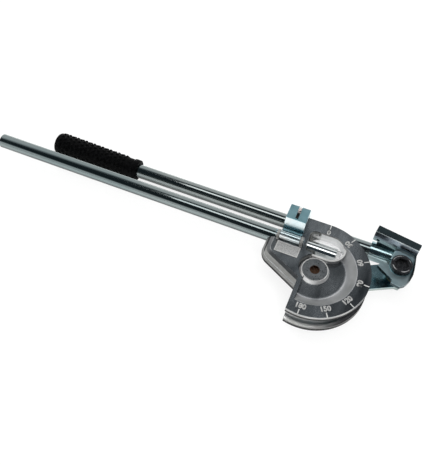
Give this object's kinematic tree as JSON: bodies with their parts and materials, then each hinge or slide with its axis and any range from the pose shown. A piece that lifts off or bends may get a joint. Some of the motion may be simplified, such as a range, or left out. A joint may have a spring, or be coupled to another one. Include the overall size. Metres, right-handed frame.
{
  "type": "tube bender",
  "caption": "Two-handle tube bender: grooved semicircular former with a degree scale on a long handle, link arm with a folding shoe and gripped lever, and a flip-over tube hook.",
  "frame": {"origin": "middle of the base of the folded tool lying on its back", "axes": "+X along the handles towards the shoe, +Y towards the 0 degree mark, +Z out of the former's front face"},
  "size_m": [0.5416, 0.1506, 0.0772],
  "materials": {
    "cast_aluminium": "cast aluminium, polished faces and brushed groove",
    "zinc_plate": "bright blue zinc plate",
    "bare_aluminium": "bare satin aluminium",
    "grip_rubber": "matt black rubber with raised rings and studs",
    "black_oxide": "black oxide steel",
    "dark_steel": "darkened machined steel",
    "bronze": "sintered bronze"
  },
  "bodies": {
    "former": {"former_segment": "cast_aluminium", "handle_tube": "zinc_plate", "handle_plug": "zinc_plate", "handle_screw": "dark_steel", "pivot_bolt": "dark_steel", "pivot_washer": "zinc_plate", "pivot_jam_nut": "zinc_plate", "pivot_nut": "zinc_plate", "hinge_pin": "zinc_plate", "hinge_clip": "dark_steel"},
    "arm": {"arm_plate": "zinc_plate", "arm_bush": "bronze", "swivel_washer": "bronze", "shoe_bolt": "black_oxide", "shoe_washer": "zinc_plate", "shoe_nut": "zinc_plate"},
    "lever": {"shoe_body": "zinc_plate", "shoe_bush": "bronze", "lever_tube": "zinc_plate", "lever_screw": "dark_steel", "lever_grip": "grip_rubber"},
    "hook": {"hook_body": "zinc_plate", "hook_pad": "bare_aluminium"}
  },
  "joints": [
    {"name": "arm_swing", "type": "hinge", "parent": "former", "child": "arm", "pos_m": [0.1672, -0.01333, 0.02075], "axis": [0, 0, -1], "range_deg": [-44.5, 135.5]},
    {"name": "lever_fold", "type": "hinge", "parent": "arm", "child": "lever", "pos_m": [0.25517, 0.03424, 0.02725], "axis": [0, 0, -1], "range_deg": [0, 215.5]},
    {"name": "hook_flip", "type": "hinge", "parent": "former", "child": "hook", "pos_m": [0.12895, 0.01068, 0.06045], "axis": [1, 0, 0], "range_deg": [0, 120]}
  ]
}
